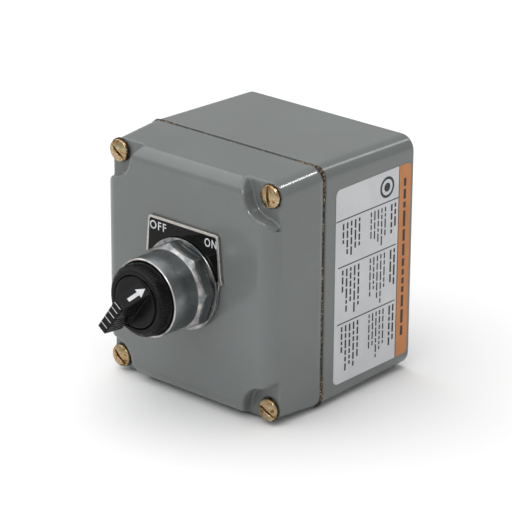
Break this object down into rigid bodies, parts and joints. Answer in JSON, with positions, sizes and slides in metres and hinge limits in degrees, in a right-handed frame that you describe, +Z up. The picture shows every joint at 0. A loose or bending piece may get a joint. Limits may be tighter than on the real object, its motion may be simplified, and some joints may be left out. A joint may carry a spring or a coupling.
{
  "type": "selector switch control station",
  "caption": "Cast box with a screwed-on cover, gasket and a rotary OFF/ON selector that works push rods and sprung contacts inside",
  "frame": {"origin": "centre of the flat wall side of the box, on the selector's axis", "axes": "+Y out of the wall side, so the cover and knob face -Y; +Z up; +X to the right seen from the front"},
  "size_m": [0.1084, 0.1473, 0.1192],
  "materials": {
    "grey_enamel": "glossy baked grey enamel on a cast housing",
    "cork_rubber": "granular cork and rubber sheet",
    "yellow_zinc": "yellow chromated zinc plate on steel",
    "label_film": "satin printed film, light grey with an orange band",
    "legend_aluminium": "satin aluminium with a black printed field",
    "chrome": "bright plated, lightly worn at the edges",
    "black_plastic": "fine satin black moulding",
    "white_paint": "white inlay",
    "zinc_casting": "plain zinc casting",
    "steel": "zinc plated steel",
    "rubber": "black nitrile rubber",
    "nylon": "natural nylon",
    "red_plastic": "red moulding",
    "grey_plastic": "grey phenolic moulding",
    "brass": "plain brass",
    "copper": "copper alloy",
    "green_steel": "green plated steel"
  },
  "bodies": {
    "housing": {"enclosure_box": "grey_enamel", "enclosure_cover": "grey_enamel", "cover_gasket": "cork_rubber", "side_label": "label_film", "ground_screw": "green_steel", "legend_plate": "legend_aluminium", "thrust_washer": "chrome", "ring_nut": "chrome", "selector_bezel": "black_plastic", "operator_body": "zinc_casting", "panel_gasket": "rubber", "shaft_seal": "rubber", "plunger_guide_plate": "steel", "contact_block": "grey_plastic", "cover_screw_upper_left": "yellow_zinc", "lock_washer_upper_left": "steel", "cover_screw_upper_right": "yellow_zinc", "lock_washer_upper_right": "steel", "cover_screw_lower_left": "yellow_zinc", "lock_washer_lower_left": "steel", "cover_screw_lower_right": "yellow_zinc", "lock_washer_lower_right": "steel", "fixed_contact_no_upper": "brass", "terminal_screw_no_upper": "steel", "fixed_contact_no_lower": "brass", "terminal_screw_no_lower": "steel", "return_spring_no": "steel", "fixed_contact_nc_upper": "brass", "terminal_screw_nc_upper": "steel", "fixed_contact_nc_lower": "brass", "terminal_screw_nc_lower": "steel", "return_spring_nc": "steel", "block_screw_upper": "steel", "block_screw_lower": "steel"},
    "selector": {"selector_knob": "black_plastic", "knob_arrow": "white_paint", "selector_shaft": "steel", "retaining_clip": "steel", "face_cam": "nylon"},
    "contact_set_no": {"push_rod_no": "nylon", "contact_carrier_no": "nylon", "contact_bridge_no": "copper"},
    "contact_set_nc": {"push_rod_nc": "nylon", "contact_carrier_nc": "red_plastic", "contact_bridge_nc": "copper"}
  },
  "joints": [
    {"name": "knob_turn", "type": "hinge", "parent": "housing", "child": "selector", "pos_m": [0, -0.1005, 0], "axis": [0, -1, 0], "range_deg": [0, 72]},
    {"name": "contact_set_no_slide", "type": "slide", "parent": "housing", "child": "contact_set_no", "axis": [0, 1, 0], "range_m": [-0.003, 0], "deforming": ["return_spring_no"]},
    {"name": "contact_set_nc_slide", "type": "slide", "parent": "housing", "child": "contact_set_nc", "axis": [0, 1, 0], "range_m": [-0.003, 0], "deforming": ["return_spring_nc"]}
  ],
  "couplings": [
    {"joint": "contact_set_no_slide", "follows": "knob_turn", "m_per_rad": -0.002387},
    {"joint": "contact_set_nc_slide", "follows": "knob_turn", "m_per_rad": -0.002387}
  ]
}
